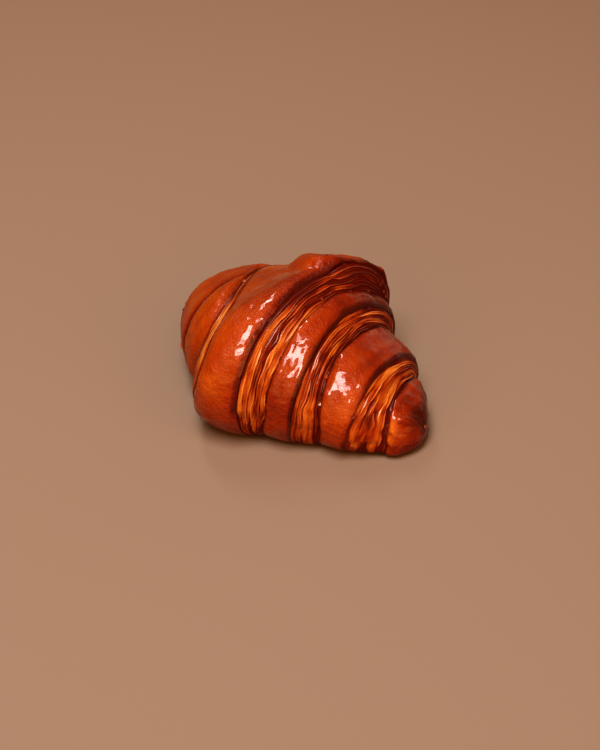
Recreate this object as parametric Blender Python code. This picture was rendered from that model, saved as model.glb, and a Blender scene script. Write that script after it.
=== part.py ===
"""A baked butter croissant: one roll of laminated dough with seven visible wraps, bent into a crescent.

The spine is an arc in the XY plane whose two tips swing toward +Y. The body is a closed tube along it,
flat where it rests. Each wrap of the rolled strip ends in an edge that crosses the body at a slant;
smooth crust lies between the edges, and where a wrap was cut its stacked layers show as a stepped band.
"""

import bmesh
import bpy
import numpy as np

# Driving dimensions, in metres
HALF_ARC = 0.0725        # along the spine, from its middle to either tip
BEND_RADIUS = 0.188      # of the spine
CORE_SHARE = 0.40        # height of the widest line, over the section's full height
BASE_FULLNESS = 1.18     # how far the underside would reach below the table before it is flattened
CROWN_POWERS = (0.88, 0.92)  # across and up, above the widest line; under 1 is squarer than an ellipse
BASE_POWERS = (0.70, 0.70)   # and below it
TIP_REACH = 1.02         # station of the tips, in half arcs from the middle
ROUND_END = 0.12         # half arcs over which each tip rounds off
SHOULDER = 0.35          # share of a wrap's width over which its edges round off
ROLL = 0.0018            # how far a wrap's far edge rolls down
ROLL_SHARE = 0.20        # over this share of its width
LIP = 0.12               # the same for the thin edge of the wrap that laps over
LAYERS_PER_BAND = 3      # ridges of stacked dough in each band
LAYER_DEPTH = 0.0009     # from the middle of a ridge to its crest
LAYER_WANDER = 1.3       # how far the ridges snake as they go round, in radians of their wave
SWELL = 0.0006           # slow unevenness of the crust
UNDER_SHARE = 0.3        # of the relief that is left on the underside
FLAP_HEIGHT = 0.0051     # the strip's free end, lying folded over the top
FLAP_STATION, FLAP_ANGLE = -0.074, np.radians(143.5)
FLAP_LENGTH, FLAP_SPREAD = 0.333, np.radians(50)
FLAP_SOFT, FLAP_CRISP = 0.36, 0.20  # shares of it over which it rises: on its far side, on its near side

# Each row: station along the spine in half arcs, half-width to the outer side, to the inner side, height
PROFILE = (
    (-1.00, 0.0088, 0.0096, 0.0157),
    (-0.75, 0.0244, 0.0234, 0.0333),
    (-0.45, 0.0349, 0.0303, 0.0445),
    (-0.15, 0.0459, 0.0422, 0.0520),
    (0.05, 0.0548, 0.0438, 0.0574),
    (0.25, 0.0466, 0.0460, 0.0542),
    (0.45, 0.0352, 0.0383, 0.0436),
    (0.75, 0.0211, 0.0274, 0.0279),
    (1.00, 0.0107, 0.0143, 0.0186),
)

# The edges of the wraps, tip to tip: station where the edge crosses the spine, how far it slants toward
# the outer side, leans over the top and reaches on the inner side, all in half arcs
EDGES = (
    ("first tip", -TIP_REACH, 0.0, 0.0, 0.0),
    ("first nub", -0.86, 0.01, 0.02, 0.0),
    ("first cut", -0.73, 0.02, 0.02, 0.0),
    ("second lap", -0.47, 0.086, 0.012, 0.0),
    ("third cut low", -0.640, 0.475, 0.191, 0.2),
    ("third cut high", -0.570, 0.580, 0.191, 0.2),
    ("middle wrap", 0.109, 0.124, 0.02, 0.126),
    ("middle cut", 0.209, 0.102, 0.026, 0.037),
    ("fifth wrap", 0.343, 0.097, 0.034, 0.02),
    ("fifth cut", 0.466, 0.081, -0.012, -0.019),
    ("sixth wrap", 0.67, 0.025, 0.039, 0.049),
    ("sixth cut", 0.805, 0.061, 0.007, -0.027),
    ("last tip", TIP_REACH, 0.0, 0.0, 0.0),
)
LEAST_GAP = 0.045        # between two edges that would otherwise cross, in half arcs

# What lies between one edge and the next: kind, rings of vertices across it, and how far it stands
# proud of the plain body at its start, its middle and its end. A wrap's middle figure is for its
# shoulder, and its last one is before its far edge rolls down
SPANS = (
    ("crust", 7, 0.0000, 0.0000, -0.0020),
    ("band", 7, -0.0024, 0.0000, 0.0012),
    ("crust", 7, 0.0016, 0.0020, -0.0004),
    ("lap", 6, -0.0004, 0.0014, -0.0012),
    ("cut", 3, -0.0014, 0.0004, 0.0020),
    ("wrap", 11, 0.0018, 0.0026, 0.0042),
    ("band", 9, 0.0022, 0.0006, -0.0036),
    ("wrap", 8, -0.0040, -0.0021, 0.0015),
    ("band", 9, -0.0005, 0.0006, -0.0042),
    ("wrap", 8, -0.0046, -0.0021, 0.0044),
    ("band", 9, 0.0024, 0.0006, -0.0033),
    ("crust", 7, -0.0037, -0.0001, 0.0000),
)
AROUND_TOP = 32          # vertices of each ring above the widest line
AROUND_BASE = 16         # and below it
CRUST_COLOUR = (0.42, 0.12, 0.03, 1.0)


def eased(x):
    """0 below 0, 1 above 1, smooth between."""
    x = np.clip(x, 0.0, 1.0)
    return x * x * (3 - 2 * x)


def rounded(x):
    """A quarter circle's rise from 0 at 0 to 1 at 1."""
    return np.sqrt(1 - (1 - np.clip(x, 0.0, 1.0)) ** 2)


def held(x, limit):
    """x where it is positive, levelling off at -limit where it is negative."""
    return np.where(x > 0, x, limit * np.tanh(x / limit))


def through(knots, values, at):
    """A smooth curve through the knots, with each slope taken from the two neighbours."""
    slopes = np.gradient(values, knots)
    i = np.clip(np.searchsorted(knots, at) - 1, 0, len(knots) - 2)
    width = knots[i + 1] - knots[i]
    u = np.clip((at - knots[i]) / width, 0.0, 1.0)
    return (
        values[i] * (1 + 2 * u) * (1 - u) ** 2
        + slopes[i] * width * u * (1 - u) ** 2
        + values[i + 1] * u * u * (3 - 2 * u)
        + slopes[i + 1] * width * u * u * (u - 1)
    )


def edge_stations(angle):
    """A row of stations for each edge, at angles round the body from its outer side over the top."""
    side, rise = held(np.cos(angle), 0.2), held(np.sin(angle), 0.45)
    back = np.clip(-np.cos(angle), 0, 1) ** 2
    rows = [middle + slant * side + lean * rise + reach * back for _, middle, slant, lean, reach in EDGES]
    for i in range(len(rows) - 3, 0, -1):
        rows[i] = np.minimum(rows[i], rows[i + 1] - LEAST_GAP)
    return np.array(rows)


def proud(place, angle):
    """How far the surface stands out from the plain body. A place is counted in spans from the first tip."""
    out = np.zeros_like(place)
    for i, (kind, _, start, middle, end) in enumerate(SPANS):
        u = place - i
        here = (u >= 0) & (u <= 1)
        if kind == "wrap":
            # A wrap climbs from a crease over a round shoulder, thickens and rolls over at its far edge
            climb = start + (middle - start) * rounded(u / SHOULDER) + (end - middle) * u
            lift = climb - ROLL * (1 - rounded((1 - u) / ROLL_SHARE))
        elif kind == "crust":
            # A smooth cap, round at both ends
            rising = start + (middle - start) * rounded(u / SHOULDER)
            falling = end + (middle - end) * rounded((1 - u) / SHOULDER)
            lift = np.where(u < 0.5, rising, falling)
        elif kind == "lap":
            # A thin edge lies over the wrap before it, then sinks under the next
            lift = start + (middle - start) * rounded(u / LIP) + (end - middle) * eased(2 * u - 1)
        else:
            lift = start + (end - start) * u + middle * np.sin(np.pi * np.clip(u, 0, 1))
        if kind == "band":
            ridges = np.cos(2 * np.pi * LAYERS_PER_BAND * u + LAYER_WANDER * np.sin(2 * angle + i))
            lift += LAYER_DEPTH * ridges * np.sin(np.pi * np.clip(u, 0, 1)) ** 0.5
        out = np.where(here, lift, out)
    return out


def flap(station, angle):
    """The rounded free end of the strip on top of the middle wrap."""
    along = (station - FLAP_STATION) / FLAP_LENGTH
    over = (angle - FLAP_ANGLE) / FLAP_SPREAD
    soft = FLAP_SOFT + (FLAP_CRISP - FLAP_SOFT) * eased(0.3 - over)
    return FLAP_HEIGHT * eased((1 - np.hypot(along, over)) / soft)


def section(station, angle, lift):
    """Points of the cross-sections, as sideways offsets (outer side positive) and heights."""
    knots, outer, inner, height = np.array(PROFILE).T
    outer, inner, height = (through(knots, row, station) for row in (outer, inner, height))
    core = CORE_SHARE * height
    c, s = np.cos(angle), np.sin(angle)
    half = np.where(c < 0, inner, outer)
    upper = s > 0
    power_across, power_up = (np.where(upper, *pair) for pair in zip(CROWN_POWERS, BASE_POWERS))
    across = half * np.sign(c) * np.abs(c) ** power_across
    rise = np.where(upper, height - core, -BASE_FULLNESS * core) * np.abs(s) ** power_up
    # Lift along the outward direction of the section
    out = np.array([across / half**2, rise / (height - core) ** 2])
    out /= np.maximum(np.hypot(*out), 1e-9)
    across, rise = across + lift * out[0], rise + lift * out[1]
    # Round off the tips about the section's core
    close = rounded((TIP_REACH - np.abs(station)) / ROUND_END)
    return across * close, np.maximum(core + rise * close, 0.0)


def on_spine(station, across, height):
    """Carry section points to their place along the bent spine."""
    turn = station * HALF_ARC / BEND_RADIUS
    x = (BEND_RADIUS + across) * np.sin(turn)
    y = BEND_RADIUS - (BEND_RADIUS + across) * np.cos(turn)
    return np.array([x, y, height]).T


def surface_points(place, angle):
    """Where the skin lies, at places counted in spans and angles round the body."""
    rows = edge_stations(angle)
    i = np.minimum(place.astype(int), len(SPANS) - 1)
    n = np.arange(len(place))
    station = rows[i, n] + (rows[i + 1, n] - rows[i, n]) * (place - i)
    swell = SWELL * np.sin(9 * station + 2 * angle) * np.sin(3 * angle - 5 * station + 0.7)
    share = UNDER_SHARE + (1 - UNDER_SHARE) * eased(1 + 2 * np.sin(angle))
    lift = proud(place, angle) * share + swell + flap(station, angle)
    return on_spine(station, *section(station, angle, lift))


def ring_places():
    """The place of every ring of vertices, closest together next to the creases."""
    places = []
    for i, (kind, rings, *_) in enumerate(SPANS):
        steps = np.arange(rings) / rings
        if kind in ("crust", "wrap"):
            steps = 0.5 - 0.5 * np.cos(np.pi * steps)
        places += [i + step for step in steps]
    return np.array(places + [len(SPANS)])


def shape_croissant(mesh_name):
    """A sphere with its poles at the tips, every vertex moved to its place on the croissant."""
    places = ring_places()
    around = AROUND_TOP + AROUND_BASE
    sphere = bmesh.new()
    bmesh.ops.create_uvsphere(sphere, u_segments=around, v_segments=len(places) - 1, radius=1.0)
    x, y, z = np.array([vertex.co for vertex in sphere.verts]).T
    ring = np.rint(np.arccos(np.clip(z, -1, 1)) / np.pi * (len(places) - 1)).astype(int)
    step = np.rint(np.arctan2(y, x) / (2 * np.pi) * around) % around
    above = np.pi * step / AROUND_TOP
    below = np.pi * (1 + (step - AROUND_TOP) / AROUND_BASE)
    points = surface_points(places[ring], np.where(step <= AROUND_TOP, above, below))
    for vertex, point in zip(sphere.verts, points):
        vertex.co = point
    if sphere.calc_volume(signed=True) < 0:
        bmesh.ops.reverse_faces(sphere, faces=sphere.faces)
    mesh = bpy.data.meshes.new(mesh_name)
    sphere.to_mesh(mesh)
    sphere.free()
    return mesh


def centre_on_base(mesh):
    """Put the origin at the middle of the bounding box's underside."""
    points = np.array([vertex.co for vertex in mesh.vertices])
    low, high = points.min(0), points.max(0)
    points -= [(low[0] + high[0]) / 2, (low[1] + high[1]) / 2, low[2]]
    mesh.vertices.foreach_set("co", points.ravel())
    mesh.update()


def crust_material():
    material = bpy.data.materials.new("baked crust")
    material.use_nodes = True
    surface = material.node_tree.nodes["Principled BSDF"]
    surface.inputs["Base Color"].default_value = CRUST_COLOUR
    surface.inputs["Roughness"].default_value = 0.3
    surface.inputs["Metallic"].default_value = 0.0
    return material


def main():
    for old in list(bpy.data.objects):
        bpy.data.objects.remove(old, do_unlink=True)
    collection = bpy.data.collections.new("croissant")
    bpy.context.scene.collection.children.link(collection)
    mesh = shape_croissant("croissant")
    centre_on_base(mesh)
    mesh.materials.append(crust_material())
    mesh.shade_smooth()
    collection.objects.link(bpy.data.objects.new("croissant", mesh))


main()
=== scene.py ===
import math

import bmesh
import bpy
import numpy as np
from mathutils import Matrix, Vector


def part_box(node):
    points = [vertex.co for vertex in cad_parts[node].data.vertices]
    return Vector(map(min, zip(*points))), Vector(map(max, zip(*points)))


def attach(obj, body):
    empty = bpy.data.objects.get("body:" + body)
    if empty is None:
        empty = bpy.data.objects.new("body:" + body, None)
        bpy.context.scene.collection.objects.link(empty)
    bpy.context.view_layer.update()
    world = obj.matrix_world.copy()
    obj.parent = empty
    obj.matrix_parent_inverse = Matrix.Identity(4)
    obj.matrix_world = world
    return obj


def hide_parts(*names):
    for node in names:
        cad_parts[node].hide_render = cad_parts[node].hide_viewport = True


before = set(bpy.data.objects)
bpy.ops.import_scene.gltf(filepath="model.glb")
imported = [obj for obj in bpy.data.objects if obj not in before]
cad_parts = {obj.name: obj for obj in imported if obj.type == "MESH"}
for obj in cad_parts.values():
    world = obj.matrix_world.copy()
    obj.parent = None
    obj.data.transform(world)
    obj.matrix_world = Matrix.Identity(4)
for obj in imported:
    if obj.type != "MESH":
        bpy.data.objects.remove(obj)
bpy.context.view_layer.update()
solidLow, solidHigh = (np.array(corner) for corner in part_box("croissant"))


# small helpers on arrays
def eased(x):
    x = np.clip(x, 0.0, 1.0)
    return x * x * (3 - 2 * x)


def rounded(x):  # a quarter circle's rise
    return np.sqrt(1 - (1 - np.clip(x, 0.0, 1.0)) ** 2)


def held(x, limit):  # levels off at -limit
    return np.where(x > 0, x, limit * np.tanh(x / limit))


def hump(x, middle, width):  # 1 at the middle, about 0 two widths away
    return np.exp(-(((x - middle) / width) ** 2))


def through(knots, values, at):  # smooth curve through the knots
    slopes = np.gradient(values, knots)
    i = np.clip(np.searchsorted(knots, at) - 1, 0, len(knots) - 2)
    width = knots[i + 1] - knots[i]
    u = np.clip((at - knots[i]) / width, 0.0, 1.0)
    return (
        values[i] * (1 + 2 * u) * (1 - u) ** 2
        + slopes[i] * width * u * (1 - u) ** 2
        + values[i + 1] * u * u * (3 - 2 * u)
        + slopes[i + 1] * width * u * u * (u - 1)
    )


def softNoise(x, y, z, seed):  # smooth values from -1 to 1 that change over about one unit
    lattice = np.random.default_rng(seed).uniform(-1, 1, (24, 24, 24))
    cell = np.stack(np.broadcast_arrays(x, y, z), -1).astype(float)
    corner = np.floor(cell).astype(int)
    part = cell - corner
    part = part ** 3 * (part * (6 * part - 15) + 10)
    total = 0.0
    for n in range(8):
        step = np.array([n & 1, n >> 1 & 1, n >> 2])
        weight = np.prod(np.where(step, part, 1 - part), axis=-1)
        i = (corner + step) % 24
        total = total + weight * lattice[i[..., 0], i[..., 1], i[..., 2]]
    return total


# the form that every piece follows, the same as the solid's
body = {
    "halfArc": 0.0725,  # along the spine, from its middle to either tip
    "bendRadius": 0.188,
    "coreShare": 0.40,  # height of the widest line over the whole height
    "baseFullness": 1.18,
    "crownPowers": (0.88, 0.92),
    "basePowers": (0.70, 0.70),
    "tipReach": 1.02,
    "roundEnd": 0.12,
    "profile": (  # station, half-width outer, half-width inner, height
        (-1.00, 0.0088, 0.0096, 0.0157),
        (-0.75, 0.0244, 0.0234, 0.0333),
        (-0.45, 0.0349, 0.0303, 0.0445),
        (-0.15, 0.0459, 0.0422, 0.0520),
        (0.05, 0.0548, 0.0438, 0.0574),
        (0.25, 0.0466, 0.0460, 0.0542),
        (0.45, 0.0352, 0.0383, 0.0436),
        (0.75, 0.0211, 0.0274, 0.0279),
        (1.00, 0.0107, 0.0143, 0.0186),
    ),
    "edges": (  # where each wrap's edge crosses: middle, slant, lean over the top, reach on the inner side
        (-1.02, 0.0, 0.0, 0.0),
        (-0.86, 0.01, 0.02, 0.0),
        (-0.73, 0.02, 0.02, 0.0),
        (-0.47, 0.086, 0.012, 0.0),
        (-0.640, 0.475, 0.191, 0.2),
        (-0.570, 0.580, 0.191, 0.2),
        (0.109, 0.124, 0.02, 0.126),
        (0.209, 0.102, 0.026, 0.037),
        (0.343, 0.097, 0.034, 0.02),
        (0.466, 0.081, -0.012, -0.019),
        (0.67, 0.025, 0.039, 0.049),
        (0.805, 0.061, 0.007, -0.027),
        (1.02, 0.0, 0.0, 0.0),
    ),
    "leastGap": 0.045,
    "shoulder": 0.35,
    "roll": 0.0018,  # how far a wrap's far edge rolls down
    "rollShare": 0.20,
    "lip": 0.12,
    "underShare": 0.3,  # of the relief that is left on the underside
}

# What lies between one edge and the next: kind, rows of vertices, proud at start, middle and end, layers
spans = (
    ("crust", 18, 0.0000, 0.0000, -0.0020, 0),
    ("band", 30, -0.0024, 0.0000, 0.0012, 4),
    ("crust", 24, 0.0016, 0.0020, -0.0004, 0),
    ("lap", 28, -0.0004, 0.0014, -0.0012, 0),
    ("cut", 22, -0.0014, 0.0004, 0.0020, 4),
    ("wrap", 42, 0.0018, 0.0026, 0.0042, 0),
    ("band", 58, 0.0022, 0.0006, -0.0036, 5),
    ("wrap", 28, -0.0040, -0.0021, 0.0015, 0),
    ("band", 58, -0.0005, 0.0006, -0.0042, 5),
    ("wrap", 30, -0.0046, -0.0021, 0.0044, 0),
    ("band", 48, 0.0024, 0.0006, -0.0033, 3.6),
    ("crust", 24, -0.0037, -0.0001, 0.0000, 0),
)


def edgeStations(angle):
    side, rise = held(np.cos(angle), 0.2), held(np.sin(angle), 0.45)
    back = np.clip(-np.cos(angle), 0, 1) ** 2
    rows = [middle + slant * side + lean * rise + reach * back for middle, slant, lean, reach in body["edges"]]
    for i in range(len(rows) - 3, 0, -1):
        rows[i] = np.minimum(rows[i], rows[i + 1] - body["leastGap"])
    return np.array(rows)


def girth(station):  # rough distance round the body for each radian
    knots, outer, inner, height = np.array(body["profile"]).T
    return 0.5 * through(knots, 0.5 * (outer + inner) + 0.5 * height, station)


def proudOf(place, angle):  # the broad rise of each wrap
    out = np.zeros_like(place)
    for i, (kind, _, start, middle, end, _) in enumerate(spans):
        u = place - i
        here = (u >= 0) & (u <= 1)
        if kind == "wrap":
            climb = start + (middle - start) * rounded(u / body["shoulder"]) + (end - middle) * u
            lift = climb - body["roll"] * (1 - rounded((1 - u) / body["rollShare"]))
        elif kind == "crust":
            rising = start + (middle - start) * rounded(u / body["shoulder"])
            falling = end + (middle - end) * rounded((1 - u) / body["shoulder"])
            lift = np.where(u < 0.5, rising, falling)
        elif kind == "lap":
            lift = start + (middle - start) * rounded(u / body["lip"]) + (end - middle) * eased(2 * u - 1)
        else:
            lift = start + (end - start) * u + middle * np.sin(np.pi * np.clip(u, 0, 1))
        out = np.where(here, lift, out)
    return out


# the strip's free end, tucked over the top
foldedEnd = {
    "height": 0.0051,
    "station": -0.074,
    "angle": 143.5,  # degrees round the body
    "length": 0.333,  # in stations
    "spread": 50,  # in degrees
    "soft": 0.36,  # how gently its far rim rises
    "crisp": 0.20,
}


def foldedEndRise(station, angle):
    along = (station - foldedEnd["station"]) / foldedEnd["length"]
    over = (angle - math.radians(foldedEnd["angle"])) / math.radians(foldedEnd["spread"])
    soft = foldedEnd["soft"] + (foldedEnd["crisp"] - foldedEnd["soft"]) * eased(0.3 - over)
    return foldedEnd["height"] * eased((1 - np.hypot(along, over)) / soft)


def sectionPoint(station, angle, lift):
    knots, outer, inner, height = np.array(body["profile"]).T
    outer, inner, height = (through(knots, row, station) for row in (outer, inner, height))
    core = body["coreShare"] * height
    c, s = np.cos(angle), np.sin(angle)
    half = np.where(c < 0, inner, outer)
    upper = s > 0
    powerAcross, powerUp = (np.where(upper, *pair) for pair in zip(body["crownPowers"], body["basePowers"]))
    across = half * np.sign(c) * np.abs(c) ** powerAcross
    rise = np.where(upper, height - core, -body["baseFullness"] * core) * np.abs(s) ** powerUp
    out = np.array([across / half**2, rise / (height - core) ** 2])
    out /= np.maximum(np.hypot(*out), 1e-9)
    across, rise = across + lift * out[0], rise + lift * out[1]
    close = rounded((body["tipReach"] - np.abs(station)) / body["roundEnd"])
    return across * close, np.maximum(core + rise * close, 0.0)


def onSpine(station, across, height):
    turn = station * body["halfArc"] / body["bendRadius"]
    x = (body["bendRadius"] + across) * np.sin(turn)
    y = body["bendRadius"] - (body["bendRadius"] + across) * np.cos(turn)
    return np.stack([x, y, height], -1)


# fine relief of the baked dough
relief = {
    "ridgeDepth": 0.0009,  # of a dough layer's rounded edge
    "ridgeWander": 0.40,  # in layers
    "fineLine": 0.00020,
    "swell": 0.0006,
    "billow": 0.00055,  # soft unevenness of the crust
    "furrow": 0.00026,  # long shallow folds that run with the wraps
    "dimple": 0.00022,
    "dent": 0.00042,  # on the small wraps by the right tip
    "pleat": 0.00030,  # long faint folds beside a wrap's edges
    "pucker": 0.0006,
    "creasing": 0.0009,  # dry folds of the strip's free end
    "lipCurl": 0.0006,  # how far a wrap's lip leans over the layers beside it
}


def layerPhase(i, u, s, count):
    # counts dough layers across a band; the lines between them wander as they go round
    drift = softNoise(s / 0.021, u * 1.2, i * 3.7, 11) + 0.6 * softNoise(s / 0.007, u * 3, i * 5.1, 12)
    return count * u + relief["ridgeWander"] * drift


def layerRelief(i, u, s, count):
    # rounded layer edges side by side, each with its own height
    phase = layerPhase(i, u, s, count)
    layer = np.floor(phase)
    t = (phase - layer) ** 0.85  # the steeper side looks toward the next wrap
    crest = (1 - np.abs(2 * t - 1) ** 2.0) ** 0.9
    weight = 0.70 + 0.45 * softNoise(layer * 5.3, s / 0.015, i * 2.1, 13)
    ends = np.clip(np.sin(np.pi * np.clip(u, 0, 1)), 0, 1) ** 0.35
    thread = phase * 2.2 + 0.5 * softNoise(phase * 1.3, s / 0.012, i * 1.7, 14)
    thread = 1 - np.abs(2 * (thread - np.floor(thread)) - 1) ** 1.5
    thread *= 0.6 + 0.6 * softNoise(phase * 2.6, s / 0.007, i * 4.3, 19)
    rise = relief["ridgeDepth"] * ends * (weight * crest - 0.45) + relief["fineLine"] * thread * ends
    return rise, 1 - np.clip(crest * weight * 1.15, 0, 1), layer


layerBake = {
    "plain": 0.46,
    "perLayer": 0.50,
    "along": 0.2,
    "creaseShade": {8: 0.62, 10: 0.75},  # painted shade where a band dips into the crease at the next wrap's shoulder
    "creaseShadeStart": {8: 0.74, 10: 0.86},
    "seamShade": 0.8,
    "foldShade": 0.62,  # the folded end shades and scorches the layers that pass under it
    "foldLight": 0.5,
    "overTop": 0.35,
    "lowGold": 0.15,
}


def layerTone(i, u, angle, layer, s):
    # how pale each layer's edge is, 0 as dark as the crust and 1 palest: baked colour, with painted shade in
    # the creases and under the folded end and a painted lit patch there
    upper = angle < np.pi
    tone = layerBake["plain"] + layerBake["perLayer"] * softNoise(layer * 3.1, s / 0.018, i * 1.3, 21)
    tone += layerBake["along"] * softNoise(layer * 7.7, s / 0.006, i, 22)
    tone += 0.12 * (i == 8)
    # painted shade where the band dips into the crease by the next wrap
    if i in layerBake["creaseShade"]:
        tone -= layerBake["creaseShade"][i] * eased((u - layerBake["creaseShadeStart"][i]) / 0.10)
    if i == 6:
        lit = hump(u, 0.56, 0.10) * hump(angle, 1.66, 0.16)
        tone -= layerBake["seamShade"] * eased((0.13 - u) / 0.05) * eased((angle - 0.2) / 0.3)
        shade = layerBake["foldShade"] - layerBake["foldLight"] * lit
        tone -= shade * eased((angle - 1.12 - 0.40 * u) / 0.32) * upper
    if i == 10:  # two pale strands with a browner one between them
        tone += 0.42 * hump(u, 0.20, 0.13) + 0.48 * hump(u, 0.70, 0.13) - 0.22
    tone -= layerBake["overTop"] * eased((angle - 1.6) / 0.5) * upper * (i > 6)
    if i == 4:
        tone += 0.16 - 0.6 * eased((angle - 0.95) / 0.3) * upper
    tone += layerBake["lowGold"] * eased((0.5 - angle) / 0.6)
    return tone


def skin(place, angle):
    # position of the baked skin, and what the finishes need to know about it
    edges = edgeStations(angle)
    i = np.minimum(np.floor(place).astype(int), len(spans) - 1)
    u = place - i
    first = np.take_along_axis(edges, i[None], 0)[0]
    second = np.take_along_axis(edges, i[None] + 1, 0)[0]
    station = first + (second - first) * u
    plain = onSpine(station, *sectionPoint(station, angle, 0.0 * station))
    s = angle * girth(station)
    lift = proudOf(place, angle)
    layerMask, valley, tone = (np.zeros_like(place) for _ in range(3))
    shift = np.zeros_like(place)
    x, y, z = plain[..., 0], plain[..., 1], plain[..., 2]
    for n, (kind, *_, layers) in enumerate(spans):
        here = i == n
        if layers:
            rise, low, layer = layerRelief(n, u[here], s[here], layers)
            lift[here] += rise
            valley[here] = low
            layerMask[here] = eased(u[here] / 0.04) * eased((1 - u[here]) / 0.04)
            tone[here] = layerTone(n, u[here], angle[here], layer, s[here])
        else:
            near = np.exp(-u[here] / 0.16) + np.exp(-(1 - u[here]) / 0.16)
            pleats = softNoise(u[here] * 9, s[here] / 0.016, n * 2.9, 15)
            lift[here] += relief["pleat"] * near * pleats
            # an edge leans over what it lies on
            ledge = hump(u[here], 0.985, 0.03) - 0.8 * hump(u[here], 0.03, 0.03) * (kind == "lap")
            shift[here] = relief["lipCurl"] * ledge * (1 + 0.7 * softNoise(s[here] / 0.0045, n * 3.3, 0.5, 23))
            if n in (0, 11):  # the two nubs shrank into pleats
                pucker = 1.4 * softNoise(s[here] / 0.0032, u[here] * 2.0, n, 24)
                pucker += 0.7 * softNoise(s[here] / 0.008, u[here] * 8, n, 25)
                lift[here] += relief["pucker"] * pucker * np.sin(np.pi * u[here]) ** 0.6
    crustMask = 1 - layerMask
    lift += crustMask * relief["billow"] * softNoise(x / 0.017, y / 0.017, z / 0.017, 16)
    lift += crustMask * relief["billow"] * 0.5 * softNoise(x / 0.0075, y / 0.0075, z / 0.0075, 17)
    lift += crustMask * relief["furrow"] * softNoise(station / 0.055, s / 0.022, i * 1.9, 20)
    lift += crustMask * relief["dimple"] * softNoise(x / 0.0032, y / 0.0032, z / 0.0032, 18)
    lift += crustMask * relief["dent"] * (i > 8) * softNoise(x / 0.0055, y / 0.0055, z / 0.0055, 29)
    swell = relief["swell"] * np.sin(9 * station + 2 * angle) * np.sin(3 * angle - 5 * station + 0.7)
    share = body["underShare"] + (1 - body["underShare"]) * eased(1 + 2 * np.sin(angle))
    rise = foldedEndRise(station, angle)
    creases = softNoise(station / 0.16, angle / 0.075, i * 0.7, 26)
    creases += 0.6 * softNoise(station / 0.06, angle / 0.16, 1.5, 27)
    lift += crustMask * relief["creasing"] * creases * eased(rise / foldedEnd["height"] * 3)
    lift = lift * share + swell + rise
    close = rounded((body["tipReach"] - np.abs(station)) / 0.08)
    station = station + shift * share * close / body["halfArc"]
    points = onSpine(station, *sectionPoint(station, angle, lift))
    facts = {"layer": layerMask, "valley": valley, "tone": tone, "station": station, "round": s, "u": u,
             "span": i}
    return points, facts


crustGrid = {"aroundTop": 164, "aroundBase": 44}  # vertices round the upper half and the base


def gridRows():
    rows = []
    for i, (kind, count, *_) in enumerate(spans):
        steps = np.arange(count) / count
        if kind in ("crust", "wrap"):
            steps = 0.5 * steps + 0.5 * (0.5 - 0.5 * np.cos(np.pi * steps))  # closer together by the edges
        rows += [i + step for step in steps]
    return np.array(rows + [len(spans)])


def gridAngles():
    top = np.pi * np.arange(crustGrid["aroundTop"]) / crustGrid["aroundTop"]
    base = np.pi * (1 + np.arange(crustGrid["aroundBase"]) / crustGrid["aroundBase"])
    return np.concatenate([top, base])


def addAttribute(mesh, name, values):
    attribute = mesh.attributes.new(name, "FLOAT", "POINT")
    attribute.data.foreach_set("value", np.ascontiguousarray(values, np.float32))


bake = {
    "plain": 0.41,
    "patches": 0.15,
    "blotches": 0.12,
    "bands": 0.08,  # run with the wraps
    "farEdge": (0.22, 0.10),  # on the spans up to the fourth, and beyond
    "rim": 0.38,
    "shoulder": 0.50,
    "paleLip": 0.9,  # paler along the lap's thin lip
    "nub": (-0.08, 0.30, 0.30, -0.55),  # plain, painted shade higher up and toward the tip, paler low on its near side as painted light and baked colour
    "tops": (0.36, 0.24, 0.12),  # darker over the tops: main wraps, last wrap and band, right nub
    "farSide": 0.06,
    "base": 0.22,
}


def bakedTone(facts, points, angle):
    # how brown each place is, 0 pale and 1 nearly burnt: oven browning, with painted shade where the wraps roll
    # down and in the valleys at their start edges, and painted light and shade on the right nub
    u, span, station = facts["u"], facts["span"], facts["station"]
    x, y, z = points[..., 0], points[..., 1], points[..., 2]
    crust = facts["layer"] < 0.5
    upper = angle < np.pi
    tone = bake["plain"] + bake["patches"] * softNoise(x / 0.03, y / 0.03, z / 0.03, 31)
    tone += bake["blotches"] * softNoise(x / 0.011, y / 0.011, z / 0.011, 32)
    tone += bake["bands"] * softNoise(station / 0.04, facts["round"] / 0.02, span * 1.3, 33)
    # darker toward each wrap's far edge where it rolls down: browning there, with painted shade
    nearLeft, farther = bake["farEdge"]
    edge = np.where(span > 4, farther, nearLeft) * eased((u - 0.74) / 0.22)
    edge += bake["rim"] * eased((u - 0.90) / 0.06)
    edge *= np.where(span == 9, 0.4 + 0.6 * eased((angle - 0.9) / 0.5), 1.0)
    edge *= 1 - 0.6 * (span == 5) * eased((angle - 1.5) / 0.4)
    tone += np.where(crust & (span < 11), edge, 0.0)
    # painted shade in the valley where each later wrap rises out of the crease
    tone += np.where(crust & (span > 5), bake["shoulder"] * eased((0.13 - u) / 0.09), 0.0)
    tone -= np.where(span == 3, bake["paleLip"] * eased((0.035 - u) / 0.015), 0.0)
    # the right nub: painted shade on its upper and tipward side over its baked browning, and a paler lit near
    # side low down
    plain, higher, tipward, low = bake["nub"]
    nub = plain + higher * eased((angle - 0.4) / 1.6) + tipward * eased((u - 0.15) / 0.7)
    nub += low * eased((0.42 - u) / 0.3) * eased((1.3 - angle) / 0.6)
    tone += np.where(span == 11, nub, 0.0)
    wraps, last, tip = bake["tops"]
    topShare = eased((angle - 1.15) / 0.7) * eased((station + 0.02) / 0.25) * upper
    tone += np.where(span < 9, wraps, np.where(span < 11, last, tip)) * topShare
    tone -= 0.02 * (span < 6)
    tone += bake["farSide"] * eased((angle - 1.9) / 0.8) * upper
    tone -= bake["base"] * eased((0.010 - z) / 0.010)
    return tone


def dryness(station, angle):
    # the folded end took little glaze
    return eased(foldedEndRise(station, angle) / foldedEnd["height"] * 4)


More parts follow.
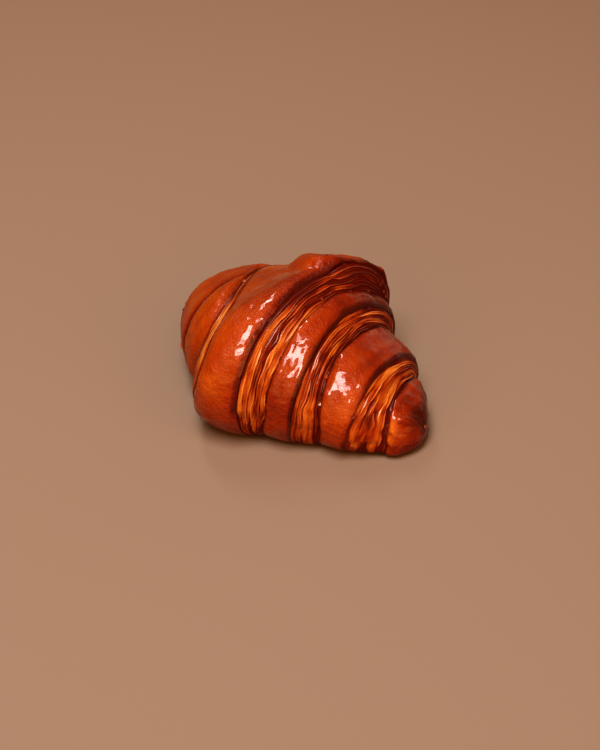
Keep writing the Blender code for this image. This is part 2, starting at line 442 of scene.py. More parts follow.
def flakingChance(facts, angle):
    # loose flakes gather by the edges of the wraps and on the layers, on the upper half
    beside = hump(facts["u"], 0.0, 0.06) + hump(facts["u"], 1.0, 0.06)
    chance = 0.25 * facts["layer"] + 0.8 * beside * (facts["layer"] < 0.5) + 0.012
    chance += 0.5 * facts["dry"] * (angle > 1.9)
    return eased(np.sin(angle) * 2) * chance


def makeCrust():
    rows, angles = gridRows(), gridAngles()
    place, angle = np.meshgrid(rows, angles, indexing="ij")
    points, facts = skin(place, angle)
    low, high = points.reshape(-1, 3).min(0), points.reshape(-1, 3).max(0)
    middle = (solidLow + solidHigh) / 2
    shift = middle - (low + high) / 2
    shift[2] = solidLow[2] - low[2]
    points = points + shift
    facts["brown"] = bakedTone(facts, points, angle)
    facts["dry"] = np.maximum(dryness(facts["station"], angle), 0.95 * (facts["span"] < 4))
    facts["flaking"] = flakingChance(facts, angle)
    rowCount, around = place.shape
    inner = points[1:-1].reshape(-1, 3)
    tips = np.array([points[0].mean(0), points[-1].mean(0)])
    vertices = np.vstack([inner, tips])
    first, last = len(inner), len(inner) + 1
    faces = []
    a = np.arange(around)
    b = (a + 1) % around
    for row in range(rowCount - 3):
        low, high = row * around, (row + 1) * around
        faces += np.stack([low + a, high + a, high + b, low + b], -1).tolist()
    faces += np.stack([np.full(around, first), a, b], -1).tolist()
    end = (rowCount - 3) * around
    faces += np.stack([np.full(around, last), end + b, end + a], -1).tolist()
    mesh = bpy.data.meshes.new("croissantCrust")
    mesh.from_pydata(vertices.tolist(), [], faces)
    shell = bmesh.new()
    shell.from_mesh(mesh)
    if shell.calc_volume(signed=True) < 0:
        bmesh.ops.reverse_faces(shell, faces=shell.faces)
        shell.to_mesh(mesh)
    shell.free()
    mesh.shade_smooth()
    facts["across"] = place * 0.004
    for name in ("layer", "valley", "tone", "brown", "across", "round", "flaking", "dry"):
        grid = facts[name]
        values = np.concatenate([grid[1:-1].ravel(), [grid[0].mean(), grid[-1].mean()]])
        addAttribute(mesh, name, values)
    crust = bpy.data.objects.new("croissantCrust", mesh)
    bpy.context.scene.collection.objects.link(crust)
    print("crust:", len(vertices), "vertices, moved by", (shift * 1000).round(2), "mm")
    return crust, shift


crust, crustShift = makeCrust()


# node helpers
def put(tree, kind, inputs=None, **settings):
    # adds a node; inputs maps a socket's name or number to a value or to another node's socket
    node = tree.nodes.new(kind)
    for name, value in settings.items():
        setattr(node, name, value)
    for key, value in (inputs or {}).items():
        socket = node.inputs[key]
        if isinstance(value, bpy.types.NodeSocket):
            tree.links.new(value, socket)
        elif socket.type == "RGBA" and len(value) == 3:
            socket.default_value = (*value, 1.0)
        else:
            socket.default_value = value
    return node


def sums(tree, operation, *values, kind="ShaderNodeMath"):
    return put(tree, kind, dict(enumerate(values)), operation=operation).outputs[0]


def newGroup(name, kind, ins, outs):
    # a node group with named sockets; gives its tree, input node and output node
    tree = bpy.data.node_groups.new(name, kind)
    for way, sockets in (("INPUT", ins), ("OUTPUT", outs)):
        for label, socketKind, *default in sockets:
            socket = tree.interface.new_socket(label, in_out=way, socket_type="NodeSocket" + socketKind)
            if default:
                socket.default_value = default[0]
    return tree, tree.nodes.new("NodeGroupInput"), tree.nodes.new("NodeGroupOutput")


def useGroup(tree, group, inputs):
    node = tree.nodes.new("ShaderNodeGroup")
    node.node_tree = group
    for key, value in inputs.items():
        if isinstance(value, bpy.types.NodeSocket):
            tree.links.new(value, node.inputs[key])
        elif isinstance(value, tuple):
            node.inputs[key].default_value = (*value, 1.0)
        else:
            node.inputs[key].default_value = value
    return node.outputs


# effects that several finishes share
def makeMottle():
    # patchy browning from the oven: broad blotches and fine speckle, both about 0
    tree, given, result = newGroup("ovenMottle", "ShaderNodeTree",
                                   [("Vector", "Vector"), ("Scale", "Float", 60.0)],
                                   [("Blotch", "Float"), ("Speckle", "Float")])
    vector, scale = given.outputs["Vector"], given.outputs["Scale"]
    broad = put(tree, "ShaderNodeTexNoise", {"Vector": vector, "Scale": scale, "Detail": 3.0, "Roughness": 0.6})
    fineScale = sums(tree, "MULTIPLY", scale, 7.0)
    fine = put(tree, "ShaderNodeTexNoise", {"Vector": vector, "Scale": fineScale, "Detail": 4.0,
                                            "Roughness": 0.65})
    tree.links.new(sums(tree, "SUBTRACT", broad.outputs["Fac"], 0.5), result.inputs["Blotch"])
    tree.links.new(sums(tree, "SUBTRACT", fine.outputs["Fac"], 0.5), result.inputs["Speckle"])
    return tree


def makeBakeColour():
    # from pale through amber and russet to scorched as Brown goes from 0 to 1
    tree, given, result = newGroup("bakeColour", "ShaderNodeTree",
                                   [("Brown", "Float", 0.5), ("Pale", "Color"), ("Amber", "Color"),
                                    ("Russet", "Color"), ("Scorched", "Color")],
                                   [("Colour", "Color")])
    colour = given.outputs["Pale"]
    for label, start, end in (("Amber", 0.0, 0.35), ("Russet", 0.35, 0.68), ("Scorched", 0.68, 1.0)):
        share = put(tree, "ShaderNodeMapRange", {"Value": given.outputs["Brown"], "From Min": start,
                                                 "From Max": end})
        mix = put(tree, "ShaderNodeMix", {0: share.outputs[0], 6: colour, 7: given.outputs[label]},
                  data_type="RGBA")
        colour = mix.outputs[2]
    tree.links.new(colour, result.inputs["Colour"])
    return tree


def makeWrinkle():
    # the glaze's small blisters and creases, as a height
    tree, given, result = newGroup("glazeWrinkle", "ShaderNodeTree",
                                   [("Vector", "Vector"), ("Size", "Float", 0.002)], [("Height", "Float")])
    scale = sums(tree, "DIVIDE", 1.0, given.outputs["Size"])
    vector, finer = given.outputs["Vector"], sums(tree, "MULTIPLY", scale, 1.3)
    soft = put(tree, "ShaderNodeTexNoise", {"Vector": vector, "Scale": scale, "Detail": 2.0, "Distortion": 0.4})
    cells = put(tree, "ShaderNodeTexVoronoi", {"Vector": vector, "Scale": finer, "Smoothness": 0.6},
                feature="SMOOTH_F1")
    height = sums(tree, "MULTIPLY_ADD", cells.outputs["Distance"], 0.5, soft.outputs["Fac"])
    tree.links.new(height, result.inputs["Height"])
    return tree


def makeStreak():
    # hair-fine lines that run with the layers
    tree, given, result = newGroup("doughStreak", "ShaderNodeTree",
                                   [("Across", "Float"), ("Along", "Float"), ("Fineness", "Float", 2500.0)],
                                   [("Streak", "Float")])
    across = sums(tree, "MULTIPLY", given.outputs["Across"], given.outputs["Fineness"])
    lengthwise = sums(tree, "MULTIPLY", given.outputs["Fineness"], 0.05)
    along = sums(tree, "MULTIPLY", given.outputs["Along"], lengthwise)
    spot = put(tree, "ShaderNodeCombineXYZ", {"X": across, "Y": along})
    noise = put(tree, "ShaderNodeTexNoise", {"Vector": spot.outputs[0], "Scale": 1.0, "Detail": 3.0,
                                             "Roughness": 0.6})
    tree.links.new(sums(tree, "SUBTRACT", noise.outputs["Fac"], 0.5), result.inputs["Streak"])
    return tree


mottleGroup, bakeColourGroup = makeMottle(), makeBakeColour()
wrinkleGroup, streakGroup = makeWrinkle(), makeStreak()
print("shared effects built")


# finishes
def newMaterial(name):
    material = bpy.data.materials.new(name)
    material.use_nodes = True
    return material, material.node_tree, material.node_tree.nodes["Principled BSDF"]


def attributeValue(tree, name):
    return put(tree, "ShaderNodeAttribute", attribute_name=name).outputs["Fac"]


def addBump(tree, surface, height, depth):
    bump = put(tree, "ShaderNodeBump", {"Height": height, "Distance": depth, "Strength": 1.0})
    tree.links.new(bump.outputs["Normal"], surface.inputs["Normal"])


crustFinish = {
    "pale": (0.29, 0.074, 0.0036),
    "amber": (0.22, 0.037, 0.0012),
    "russet": (0.145, 0.0160, 0.0006),
    "scorched": (0.050, 0.0042, 0.0003),
    "mottleScale": 75.0,  # patches for each metre
    "blotch": 0.55,
    "speckle": 0.25,
    "roughness": 0.34,
    "speckleRoughness": 0.2,
    "glaze": 0.68,
    "dryGlaze": -0.6,  # less where the crust took little glaze
    "barePatch": 260.0,  # how often the glaze thins out, for each metre
    "bareShare": 5.0,
    "barePlain": 0.8,
    "wrinkleSize": 0.0024,
    "creaseSize": 0.0011,
    "creaseShare": 0.75,
    "wrinkleDepth": 0.00042,
}
layerFinish = {
    "pale": (0.41, 0.158, 0.029),
    "amber": (0.29, 0.077, 0.0075),
    "russet": (0.19, 0.027, 0.0013),
    "scorched": (0.07, 0.005, 0.0003),
    "streak": 1.15,
    "streakFineness": 3400.0,
    "valley": 0.42,  # browner between the layers, partly baked colour and partly painted shade in the gaps
    "lighter": 0.06,
    "roughness": 0.16,  # over the crust's
    "glaze": -0.48,  # over the crust's
}
leafFinish = {
    "mottleScale": 160.0,
    "blotch": 0.8,
    "tip": -0.35,  # paler toward the torn edge
    "streak": 0.4,
    "roughness": 0.42,
    "speckleRoughness": 0.3,
    "glaze": 0.2,
    "wrinkleSize": 0.0009,
    "wrinkleDepth": 0.00006,
}
flakeFinish = {
    "mottleScale": 220.0,
    "blotch": 0.9,
    "roughness": 0.4,
    "speckleRoughness": 0.3,
    "glaze": 0.5,
    "wrinkleSize": 0.0008,
    "wrinkleDepth": 0.00005,
}


def coloursOf(finish):
    return {name.capitalize(): finish[name] for name in ("pale", "amber", "russet", "scorched")}


def makeGlazedCrust():
    material, tree, surface = newMaterial("glazedCrust")
    spot = put(tree, "ShaderNodeTexCoord").outputs["Object"]
    mottle = useGroup(tree, mottleGroup, {"Vector": spot, "Scale": crustFinish["mottleScale"]})
    brown = sums(tree, "MULTIPLY_ADD", mottle["Blotch"], crustFinish["blotch"], attributeValue(tree, "brown"))
    brown = sums(tree, "MULTIPLY_ADD", mottle["Speckle"], crustFinish["speckle"], brown)
    smooth = useGroup(tree, bakeColourGroup, {"Brown": brown, **coloursOf(crustFinish)})["Colour"]
    streak = useGroup(tree, streakGroup, {"Across": attributeValue(tree, "across"),
                                          "Along": attributeValue(tree, "round"),
                                          "Fineness": layerFinish["streakFineness"]})["Streak"]
    valley = attributeValue(tree, "valley")
    depth = sums(tree, "SUBTRACT", 1.0, attributeValue(tree, "tone"))
    depth = sums(tree, "SUBTRACT", depth, layerFinish["lighter"])
    depth = sums(tree, "MULTIPLY_ADD", valley, layerFinish["valley"], depth)
    depth = sums(tree, "MULTIPLY_ADD", streak, layerFinish["streak"], depth)
    stacked = useGroup(tree, bakeColourGroup, {"Brown": depth, **coloursOf(layerFinish)})["Colour"]
    layer = attributeValue(tree, "layer")
    colour = put(tree, "ShaderNodeMix", {0: layer, 6: smooth, 7: stacked}, data_type="RGBA").outputs[2]
    tree.links.new(colour, surface.inputs["Base Color"])
    roughness = sums(tree, "MULTIPLY_ADD", mottle["Speckle"], crustFinish["speckleRoughness"],
                     crustFinish["roughness"])
    roughness = sums(tree, "MULTIPLY_ADD", layer, layerFinish["roughness"], roughness)
    tree.links.new(roughness, surface.inputs["Roughness"])
    dry = attributeValue(tree, "dry")
    coat = sums(tree, "MULTIPLY_ADD", dry, crustFinish["dryGlaze"], crustFinish["glaze"])
    coat = sums(tree, "MULTIPLY_ADD", layer, layerFinish["glaze"], coat)
    bare = useGroup(tree, mottleGroup, {"Vector": spot, "Scale": crustFinish["barePatch"]})["Blotch"]
    glazed = sums(tree, "MULTIPLY_ADD", bare, crustFinish["bareShare"], crustFinish["barePlain"])
    glazed = put(tree, "ShaderNodeClamp", {"Value": glazed})
    tree.links.new(sums(tree, "MULTIPLY", coat, glazed.outputs[0]), surface.inputs["Coat Weight"])
    surface.inputs["Coat Roughness"].default_value = 0.05
    surface.inputs["Specular IOR Level"].default_value = 0.1
    height = useGroup(tree, wrinkleGroup, {"Vector": spot, "Size": crustFinish["wrinkleSize"]})["Height"]
    fine = useGroup(tree, wrinkleGroup, {"Vector": spot, "Size": crustFinish["creaseSize"]})["Height"]
    height = sums(tree, "MULTIPLY_ADD", fine, crustFinish["creaseShare"], height)
    height = put(tree, "ShaderNodeMix", {0: layer, 2: height, 3: streak}).outputs[0]
    addBump(tree, surface, height, crustFinish["wrinkleDepth"])
    return material


def makeLeafFinish():
    material, tree, surface = newMaterial("bakedLeaf")
    spot = put(tree, "ShaderNodeTexCoord").outputs["Object"]
    mottle = useGroup(tree, mottleGroup, {"Vector": spot, "Scale": leafFinish["mottleScale"]})
    along = sums(tree, "MULTIPLY", attributeValue(tree, "along"), 300.0)
    streak = useGroup(tree, streakGroup, {"Across": attributeValue(tree, "tip"), "Along": along,
                                          "Fineness": 9.0})
    brown = sums(tree, "SUBTRACT", 1.0, attributeValue(tree, "tone"))
    brown = sums(tree, "MULTIPLY_ADD", attributeValue(tree, "tip"), leafFinish["tip"], brown)
    brown = sums(tree, "MULTIPLY_ADD", mottle["Blotch"], leafFinish["blotch"], brown)
    brown = sums(tree, "MULTIPLY_ADD", streak["Streak"], leafFinish["streak"], brown)
    colour = useGroup(tree, bakeColourGroup, {"Brown": brown, **coloursOf(layerFinish)})["Colour"]
    tree.links.new(colour, surface.inputs["Base Color"])
    roughness = sums(tree, "MULTIPLY_ADD", mottle["Speckle"], leafFinish["speckleRoughness"],
                     leafFinish["roughness"])
    tree.links.new(roughness, surface.inputs["Roughness"])
    surface.inputs["Coat Weight"].default_value = leafFinish["glaze"]
    surface.inputs["Coat Roughness"].default_value = 0.15
    height = useGroup(tree, wrinkleGroup, {"Vector": spot, "Size": leafFinish["wrinkleSize"]})["Height"]
    addBump(tree, surface, height, leafFinish["wrinkleDepth"])
    return material


def makeFlakeFinish():
    material, tree, surface = newMaterial("looseFlake")
    spot = put(tree, "ShaderNodeTexCoord").outputs["Object"]
    mottle = useGroup(tree, mottleGroup, {"Vector": spot, "Scale": flakeFinish["mottleScale"]})
    brown = sums(tree, "MULTIPLY_ADD", mottle["Blotch"], flakeFinish["blotch"], attributeValue(tree, "tone"))
    colour = useGroup(tree, bakeColourGroup, {"Brown": brown, **coloursOf(crustFinish)})["Colour"]
    tree.links.new(colour, surface.inputs["Base Color"])
    roughness = sums(tree, "MULTIPLY_ADD", mottle["Speckle"], flakeFinish["speckleRoughness"],
                     flakeFinish["roughness"])
    tree.links.new(roughness, surface.inputs["Roughness"])
    surface.inputs["Coat Weight"].default_value = flakeFinish["glaze"]
    surface.inputs["Coat Roughness"].default_value = 0.15
    height = useGroup(tree, wrinkleGroup, {"Vector": spot, "Size": flakeFinish["wrinkleSize"]})["Height"]
    addBump(tree, surface, height, flakeFinish["wrinkleDepth"])
    return material


crust.data.materials.append(makeGlazedCrust())
print("crust glazed")


# leaves: thin torn edges of dough that stand along the layers, grown by geometry nodes
leaves = {
    "reach": 0.36,  # in pitches of the layers
    "lift": 0.00022,
    "thickness": 0.00022,
    "ragged": 1.0,
    "seed": 4,
    "step": 0.0009,  # along each guide
    "sunk": 0.00012,  # how deep a leaf's root sits in the dough
    "lapReach": -1.6,  # makes the lap's torn lip about a millimetre wide
    "chipReach": -1.0,  # and one loose chip on the flank
    "share": 0.7,  # of the places for a leaf that have one
    "starts": (0.22, 0.66),  # where leaves stand on each layer, in pitches
}
leafBands = {1: -1, 4: -1, 6: 1, 8: 1, 10: 1}  # which way each band's leaves lean
leafSteps = ((0.40, 0.30), (0.35, 0.40), (0.25, 0.30))  # shares of reach and lift, root to tip


def storedVector(tree, name):
    named = put(tree, "GeometryNodeInputNamedAttribute", {"Name": name}, data_type="FLOAT_VECTOR")
    return named.outputs["Attribute"]


def makeLeafTree():
    tree, given, result = newGroup(
        "doughLeaves", "GeometryNodeTree",
        [("Guides", "Geometry"), ("Reach", "Float", 1.0), ("Lift", "Float", 0.0006),
         ("Thickness", "Float", 0.0002), ("Ragged", "Float", 0.5), ("Seed", "Float", 1.0),
         ("Finish", "Material")],
        [("Leaves", "Geometry")])
    reach, outward = storedVector(tree, "reach"), storedVector(tree, "outward")
    here = put(tree, "GeometryNodeInputPosition").outputs[0]
    noise = put(tree, "ShaderNodeTexNoise", {"Vector": here, "W": given.outputs["Seed"], "Scale": 330.0,
                                             "Detail": 3.0}, noise_dimensions="4D").outputs["Fac"]
    torn = sums(tree, "MULTIPLY_ADD", sums(tree, "SUBTRACT", noise, 0.5), given.outputs["Ragged"], 1.0)
    shape, edge = given.outputs["Guides"], None
    for n, (along, up) in enumerate(leafSteps):
        sideways = sums(tree, "MULTIPLY", sums(tree, "MULTIPLY", torn, given.outputs["Reach"]), along)
        side = put(tree, "ShaderNodeVectorMath", {0: reach, "Scale": sideways}, operation="SCALE").outputs[0]
        upward = sums(tree, "MULTIPLY", sums(tree, "MULTIPLY", torn, given.outputs["Lift"]), up)
        rise = put(tree, "ShaderNodeVectorMath", {0: outward, "Scale": upward}, operation="SCALE").outputs[0]
        offset = put(tree, "ShaderNodeVectorMath", {0: side, 1: rise}, operation="ADD").outputs[0]
        grow = put(tree, "GeometryNodeExtrudeMesh", {"Mesh": shape, "Offset": offset}, mode="EDGES")
        if edge is not None:
            tree.links.new(edge, grow.inputs["Selection"])
        edge = grow.outputs["Top"]
        store = put(tree, "GeometryNodeStoreNamedAttribute", {
            "Geometry": grow.outputs["Mesh"], "Selection": edge, "Name": "tip",
            "Value": (n + 1) / len(leafSteps)}, data_type="FLOAT", domain="POINT")
        shape = store.outputs["Geometry"]
    front = put(tree, "GeometryNodeExtrudeMesh", {"Mesh": shape, "Offset Scale": given.outputs["Thickness"],
                                                  "Individual": False}, mode="FACES").outputs["Mesh"]
    back = put(tree, "GeometryNodeFlipFaces", {"Mesh": shape}).outputs["Mesh"]
    both = put(tree, "GeometryNodeJoinGeometry")
    tree.links.new(front, both.inputs[0])
    tree.links.new(back, both.inputs[0])
    closed = put(tree, "GeometryNodeMergeByDistance", {"Geometry": both.outputs[0], "Distance": 0.000004})
    smooth = put(tree, "GeometryNodeSetShadeSmooth", {"Geometry": closed.outputs[0], "Shade Smooth": True})
    turn = put(tree, "GeometryNodeInputMeshEdgeAngle").outputs["Unsigned Angle"]
    sharp = put(tree, "FunctionNodeCompare", {"A": turn, "B": 0.9}, operation="GREATER_THAN",
                data_type="FLOAT").outputs[0]
    creased = put(tree, "GeometryNodeSetShadeSmooth", {"Geometry": smooth.outputs[0], "Selection": sharp,
                                                       "Shade Smooth": False}, domain="EDGE")
    real = put(tree, "GeometryNodeRealizeInstances", {"Geometry": creased.outputs[0]})
    painted = put(tree, "GeometryNodeSetMaterial", {"Geometry": real.outputs[0],
                                                    "Material": given.outputs["Finish"]})
    tree.links.new(painted.outputs[0], result.inputs["Leaves"])
    return tree


def leafGuides():
    # lines along the layers, as places and angles, in random lengths end to end
    random = np.random.default_rng(leaves["seed"])
    lines = [(3, -1, 1, 0.02, -0.2, 3.3, np.array([leaves["lapReach"], 0.2, 0.8])),
             (2, -1, 1, 0.75, -0.09, 0.01, np.array([leaves["chipReach"], 12.0, 4.0]))]
    for i, way in leafBands.items():
        count = spans[i][5]
        for k in [layer + start for layer in range(math.ceil(count)) for start in leaves["starts"]]:
            angle = random.uniform(-0.35, 0.1) + 0.6 * (i == 4)
            while angle < 3.3:
                length = random.uniform(0.2, 0.9)
                if random.random() < leaves["share"]:
                    end = min(angle + length, 3.5)
                    lines.append((i, way, count, k, angle, end, random.uniform(-1, 1, 3)))
                angle += length + random.uniform(-0.12, 0.22)
    return lines


def surfaceFrame(place, angle):
    # position, direction across the wraps for each unit of place, and outward normal
    near = 0.02
    position, facts = skin(place, angle)
    across = skin(place + near, angle)[0] - skin(place - near, angle)[0]
    around = skin(place, angle + near)[0] - skin(place, angle - near)[0]
    normal = np.cross(across, around)
    normal /= np.maximum(np.linalg.norm(normal, axis=-1, keepdims=True), 1e-12)
    level = np.zeros_like(facts["station"])
    middle = onSpine(facts["station"], level, level + body["coreShare"] * position[..., 2].max())
    normal *= np.sign((normal * (position - middle)).sum(-1, keepdims=True))
    return position, across / (2 * near), normal


def guideMesh(name, lines):
    # joins polylines with their vectors into one mesh of loose edges
    mesh = bpy.data.meshes.new(name)
    points = np.concatenate([line["points"] for line in lines])
    edges, start = [], 0
    for line in lines:
        n = len(line["points"])
        edges += [(start + j, start + j + 1) for j in range(n - 1)]
        start += n
    mesh.from_pydata(points.tolist(), edges, [])
    for key in ("reach", "outward"):
        attribute = mesh.attributes.new(key, "FLOAT_VECTOR", "POINT")
        vectors = np.concatenate([line[key] for line in lines]).astype(np.float32)
        attribute.data.foreach_set("vector", vectors.ravel())
    for key in ("tone", "along"):
        addAttribute(mesh, key, np.concatenate([line[key] for line in lines]))
    return mesh


def growPiece(name, mesh, tree, values):
    # runs a geometry node tree on a mesh and keeps the result as a plain mesh
    holder = bpy.data.objects.new(name + "Guide", mesh)
    bpy.context.scene.collection.objects.link(holder)
    modifier = holder.modifiers.new("grow", "NODES")
    modifier.node_group = tree
    for socket in tree.interface.items_tree:
        if socket.in_out == "INPUT" and socket.name in values:
            modifier[socket.identifier] = values[socket.name]
    graph = bpy.context.evaluated_depsgraph_get()
    grown = bpy.data.meshes.new_from_object(holder.evaluated_get(graph))
    grown.name = name
    bpy.data.objects.remove(holder)
    piece = bpy.data.objects.new(name, grown)
    bpy.context.scene.collection.objects.link(piece)
    print(name + ":", sum(len(face.vertices) - 2 for face in grown.polygons), "triangles")
    return piece


def makeLeaves():
    lines = []
    for i, way, count, k, first, last, chance in leafGuides():
        radius = float(girth(np.array([edgeStations(np.array([0.5 * (first + last)]))[i, 0]]))[0])
        n = max(5, int((last - first) * radius / leaves["step"]))
        angle = np.linspace(first, last, n)
        u = np.full(n, k / count)
        for _ in range(4 if spans[i][5] else 0):
            start, end = edgeStations(angle)[i:i + 2]
            station = start + (end - start) * u
            s = angle * girth(station)
            u = np.clip((k - (layerPhase(i, u, s, count) - count * u)) / count, 0.02, 0.98)
        s = angle * girth(edgeStations(angle)[i])
        position, across, normal = surfaceFrame(i + u, angle)
        fade = 0.12 + 0.88 * eased(np.minimum(np.arange(n), n - 1 - np.arange(n)) / 4)
        size = (0.62 + 0.25 * chance[0]) * fade
        lines.append({
            "points": position + crustShift - leaves["sunk"] * normal,
            "reach": across * (way * size / count)[:, None],
            "outward": normal * (fade * (1.0 + 0.8 * chance[1]))[:, None],
            "tone": layerTone(i, u, angle, np.full(n, math.floor(k)), s) + 0.12 * chance[2],
            "along": s,
        })
    tree = makeLeafTree()
    values = {"Reach": leaves["reach"], "Lift": leaves["lift"], "Thickness": leaves["thickness"],
              "Ragged": leaves["ragged"], "Seed": float(leaves["seed"]), "Finish": makeLeafFinish()}
    return growPiece("doughLeaves", guideMesh("doughLeaves", lines), tree, values)


doughLeaves = makeLeaves()


# flakes: chips of dry crust lying on the dough, scattered by geometry nodes
flakes = {"density": 14000.0, "seed": 7, "smallest": 0.0004, "largest": 0.0010, "kinds": 4}


def makeFlakeTree():
    tree, given, result = newGroup(
        "crustFlakes", "GeometryNodeTree",
        [("Crust", "Geometry"), ("Density", "Float", 10000.0), ("Smallest", "Float", 0.0005),
         ("Largest", "Float", 0.002), ("Seed", "Int", 1), ("Finish", "Material")],
        [("Flakes", "Geometry")])
    chance = put(tree, "GeometryNodeInputNamedAttribute", {"Name": "flaking"},
                 data_type="FLOAT").outputs["Attribute"]
    density = sums(tree, "MULTIPLY", chance, given.outputs["Density"])
    scatter = put(tree, "GeometryNodeDistributePointsOnFaces", {
        "Mesh": given.outputs["Crust"], "Density": density, "Seed": given.outputs["Seed"]},
        distribute_method="RANDOM")
    kinds = put(tree, "GeometryNodeJoinGeometry")
    for n in range(flakes["kinds"]):
        disc = put(tree, "GeometryNodeMeshCircle", {"Vertices": 9, "Radius": 1.0}, fill_type="TRIANGLE_FAN")
        here = put(tree, "GeometryNodeInputPosition").outputs[0]
        noise = put(tree, "ShaderNodeTexNoise", {"Vector": here, "W": 3.7 * n, "Scale": 0.9, "Detail": 1.0},
                    noise_dimensions="4D")
        ragged = put(tree, "ShaderNodeVectorMath", {0: noise.outputs["Color"], 1: (-0.5, -0.5, -0.5)},
                     operation="ADD")
        ragged = put(tree, "ShaderNodeVectorMath", {0: ragged.outputs[0], 1: (1.6, 1.2, 0.3)},
                     operation="MULTIPLY")
        split = put(tree, "ShaderNodeSeparateXYZ", {0: here})
        curl = sums(tree, "MULTIPLY", sums(tree, "MULTIPLY", split.outputs["X"], split.outputs["X"]), 0.35)
        curled = put(tree, "ShaderNodeCombineXYZ", {"Z": curl}).outputs[0]
        offset = put(tree, "ShaderNodeVectorMath", {0: ragged.outputs[0], 1: curled}, operation="ADD")
        bent = put(tree, "GeometryNodeSetPosition", {"Geometry": disc.outputs[0], "Offset": offset.outputs[0]})
        top = put(tree, "GeometryNodeExtrudeMesh", {"Mesh": bent.outputs[0], "Individual": False,
                                                    "Offset Scale": 0.16}, mode="FACES")
        under = put(tree, "GeometryNodeFlipFaces", {"Mesh": bent.outputs[0]})
        chip = put(tree, "GeometryNodeJoinGeometry")
        tree.links.new(top.outputs["Mesh"], chip.inputs[0])
        tree.links.new(under.outputs["Mesh"], chip.inputs[0])
        whole = put(tree, "GeometryNodeMergeByDistance", {"Geometry": chip.outputs[0], "Distance": 0.001})
        asKind = put(tree, "GeometryNodeGeometryToInstance", {0: whole.outputs[0]})
        tree.links.new(asKind.outputs[0], kinds.inputs[0])
    size = put(tree, "FunctionNodeRandomValue", {
        "Min": given.outputs["Smallest"], "Max": given.outputs["Largest"], "Seed": given.outputs["Seed"]},
        data_type="FLOAT").outputs[1]
    turned = put(tree, "FunctionNodeRandomValue", {0: (-0.35, -0.35, 0.0), 1: (0.35, 0.35, 6.28), "Seed": 5},
                 data_type="FLOAT_VECTOR")
    tilt = put(tree, "FunctionNodeEulerToRotation", {0: turned.outputs[0]}).outputs[0]
    turn = put(tree, "FunctionNodeRotateRotation", {"Rotation": scatter.outputs["Rotation"], "Rotate By": tilt},
               rotation_space="LOCAL")
    which = put(tree, "FunctionNodeRandomValue", {4: 0, 5: flakes["kinds"] - 1, "Seed": 9}, data_type="INT")
    sizes = put(tree, "ShaderNodeCombineXYZ", {"X": size, "Y": size, "Z": size})
    place = put(tree, "GeometryNodeInstanceOnPoints", {
        "Points": scatter.outputs["Points"], "Instance": kinds.outputs[0], "Pick Instance": True,
        "Instance Index": which.outputs[2], "Rotation": turn.outputs[0], "Scale": sizes.outputs[0]})
    tones = put(tree, "FunctionNodeRandomValue", {2: 0.1, 3: 0.85, "Seed": 13}, data_type="FLOAT")
    toned = put(tree, "GeometryNodeStoreNamedAttribute", {
        "Geometry": place.outputs[0], "Name": "tone", "Value": tones.outputs[1]},
        data_type="FLOAT", domain="INSTANCE")
    real = put(tree, "GeometryNodeRealizeInstances", {"Geometry": toned.outputs[0]})
    painted = put(tree, "GeometryNodeSetMaterial", {"Geometry": real.outputs[0],
                                                    "Material": given.outputs["Finish"]})
    tree.links.new(painted.outputs[0], result.inputs["Flakes"])
    return tree


def makeFlakes():
    values = {"Density": flakes["density"], "Smallest": flakes["smallest"], "Largest": flakes["largest"],
              "Seed": flakes["seed"], "Finish": makeFlakeFinish()}
    return growPiece("crustFlakes", crust.data.copy(), makeFlakeTree(), values)


crustFlakes = makeFlakes()

for piece in (crust, doughLeaves, crustFlakes):
    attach(piece, "root")
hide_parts("croissant")
print("pieces placed")


# camera, lights, floor and air
studio = {
    "aim": (0.0132, -0.0009),  # from the middle of the spine
    "azimuth": 50.0,
    "elevation": 37.0,
    "distance": 0.6434,
    "lens": 67.75,
    "shift": (-0.0133, 0.0333),
    "keyFrom": (-0.13, -0.35, 0.93),  # right, away and up as the camera sees it
    "keyDistance": 1.4,
    "keySize": (0.52, 0.92),
    "keyPower": 23.5,
    "stripFrom": (-0.22, 0.56, 0.80),
    "stripSize": (0.16, 0.56),
    "stripPower": 4.0,
    "air": (0.17, 0.115, 0.065),
    "glow": (2.3, 1.10, 0.38),
    "glowFacing": (0.1, -0.95, 0.22),
    "wall": (0.62, 0.52, 0.43),
    "wallFacing": (0.55, 0.83, 0.12),
    "backdrop": (0.44, 0.29, 0.20),
    "floorColour": (0.180, 0.136, 0.106),
    "floorHalf": 6.0,
    "floorFade": (0.6, 2.6, 0.72),  # where it starts and ends to take on the backdrop, and how much of it
}


def asSeen(right, away, up):
    # turns the camera's right, away and up into the croissant's frame
    turn = math.radians(studio["azimuth"])
    x = right * math.cos(turn) - away * math.sin(turn)
    y = right * math.sin(turn) + away * math.cos(turn)
    return Vector((x, y, up))


def makeCamera():
    lens = bpy.data.cameras.new("camera")
    lens.lens = studio["lens"]
    lens.shift_x, lens.shift_y = studio["shift"]
    lens.clip_start, lens.clip_end = 0.01, 20
    camera = bpy.data.objects.new("camera", lens)
    lift = math.radians(studio["elevation"])
    back = asSeen(0, -math.cos(lift), math.sin(lift))
    aim = Vector((studio["aim"][0] + crustShift[0], studio["aim"][1] + crustShift[1], 0))
    camera.location = aim + back * studio["distance"]
    camera.rotation_euler = (-back).to_track_quat("-Z", "Y").to_euler()
    bpy.context.scene.collection.objects.link(camera)
    bpy.context.scene.camera = camera


def makeSoftbox(name, direction, distance, size, power):
    light = bpy.data.lights.new(name, "AREA")
    light.shape = "RECTANGLE"
    light.size, light.size_y = size
    light.energy = power
    box = bpy.data.objects.new(name, light)
    place = asSeen(*direction).normalized() * distance
    box.location = place
    box.rotation_euler = (-place).to_track_quat("-Z", "Y").to_euler()
    bpy.context.scene.collection.objects.link(box)


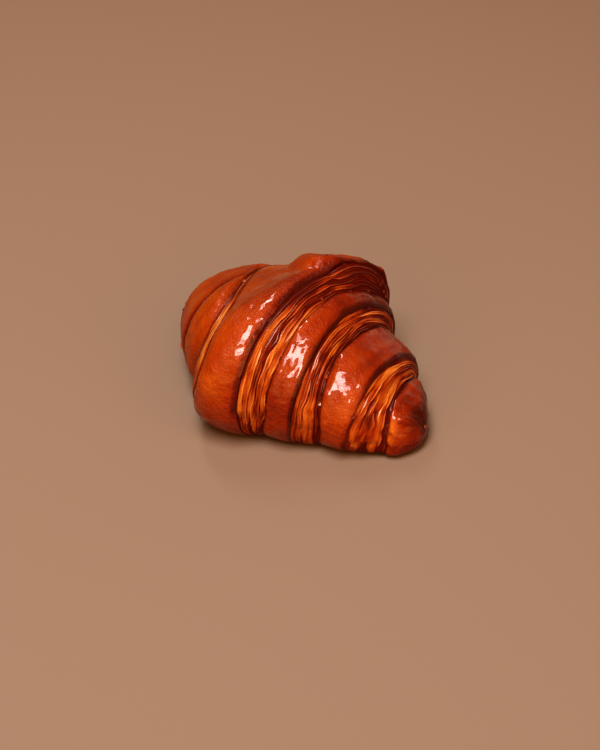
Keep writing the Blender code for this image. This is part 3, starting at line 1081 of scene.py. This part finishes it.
def makeFloor():
    # a plain floor that blends into the backdrop far away
    mesh = bpy.data.meshes.new("floor")
    plane = bmesh.new()
    bmesh.ops.create_grid(plane, x_segments=1, y_segments=1, size=studio["floorHalf"])
    plane.to_mesh(mesh)
    plane.free()
    floor = bpy.data.objects.new("floor", mesh)
    bpy.context.scene.collection.objects.link(floor)
    material, tree, surface = newMaterial("paleFloor")
    surface.inputs["Base Color"].default_value = (*studio["floorColour"], 1.0)
    surface.inputs["Roughness"].default_value = 0.8
    surface.inputs["Specular IOR Level"].default_value = 0.0
    surface.inputs["Emission Color"].default_value = (*studio["backdrop"], 1.0)
    spot = put(tree, "ShaderNodeTexCoord").outputs["Object"]
    away = put(tree, "ShaderNodeVectorMath", {0: spot}, operation="LENGTH").outputs["Value"]
    start, end, most = studio["floorFade"]
    share = put(tree, "ShaderNodeMapRange", {"Value": away, "From Min": start, "From Max": end, "To Max": most},
                interpolation_type="SMOOTHSTEP")
    tree.links.new(share.outputs[0], surface.inputs["Emission Strength"])
    mesh.materials.append(material)
    return floor


def facingShare(tree, facing, start, end):
    # 0 to 1 as the view turns toward one side of the studio
    wall = tuple(asSeen(*facing).normalized())
    spot = put(tree, "ShaderNodeTexCoord").outputs["Generated"]
    toward = put(tree, "ShaderNodeVectorMath", {0: spot, 1: wall}, operation="DOT_PRODUCT")
    toward = toward.outputs["Value"]
    return put(tree, "ShaderNodeMapRange", {"Value": toward, "From Min": start, "From Max": end},
               interpolation_type="SMOOTHSTEP").outputs[0]


def makeAir():
    # dim all round, with a warm glow in front and a pale wall behind; the camera itself sees an even backdrop
    world = bpy.data.worlds.new("studioAir")
    world.use_nodes = True
    tree = world.node_tree
    glow = facingShare(tree, studio["glowFacing"], 0.1, 1.0)
    air = put(tree, "ShaderNodeMix", {0: glow, 6: studio["air"], 7: studio["glow"]},
              data_type="RGBA").outputs[2]
    wall = facingShare(tree, studio["wallFacing"], 0.80, 0.95)
    air = put(tree, "ShaderNodeMix", {0: wall, 6: air, 7: studio["wall"]}, data_type="RGBA").outputs[2]
    seen = put(tree, "ShaderNodeLightPath").outputs["Is Camera Ray"]
    air = put(tree, "ShaderNodeMix", {0: seen, 6: air, 7: studio["backdrop"]}, data_type="RGBA").outputs[2]
    tree.links.new(air, tree.nodes["Background"].inputs["Color"])
    bpy.context.scene.world = world


makeCamera()
print("camera set")
makeSoftbox("keyLight", studio["keyFrom"], studio["keyDistance"], studio["keySize"], studio["keyPower"])
makeSoftbox("stripLight", studio["stripFrom"], studio["keyDistance"], studio["stripSize"], studio["stripPower"])
makeFloor()
makeAir()
bpy.context.scene.view_settings.view_transform = "Standard"
bpy.context.scene.view_settings.look = "High Contrast"
print("studio ready")
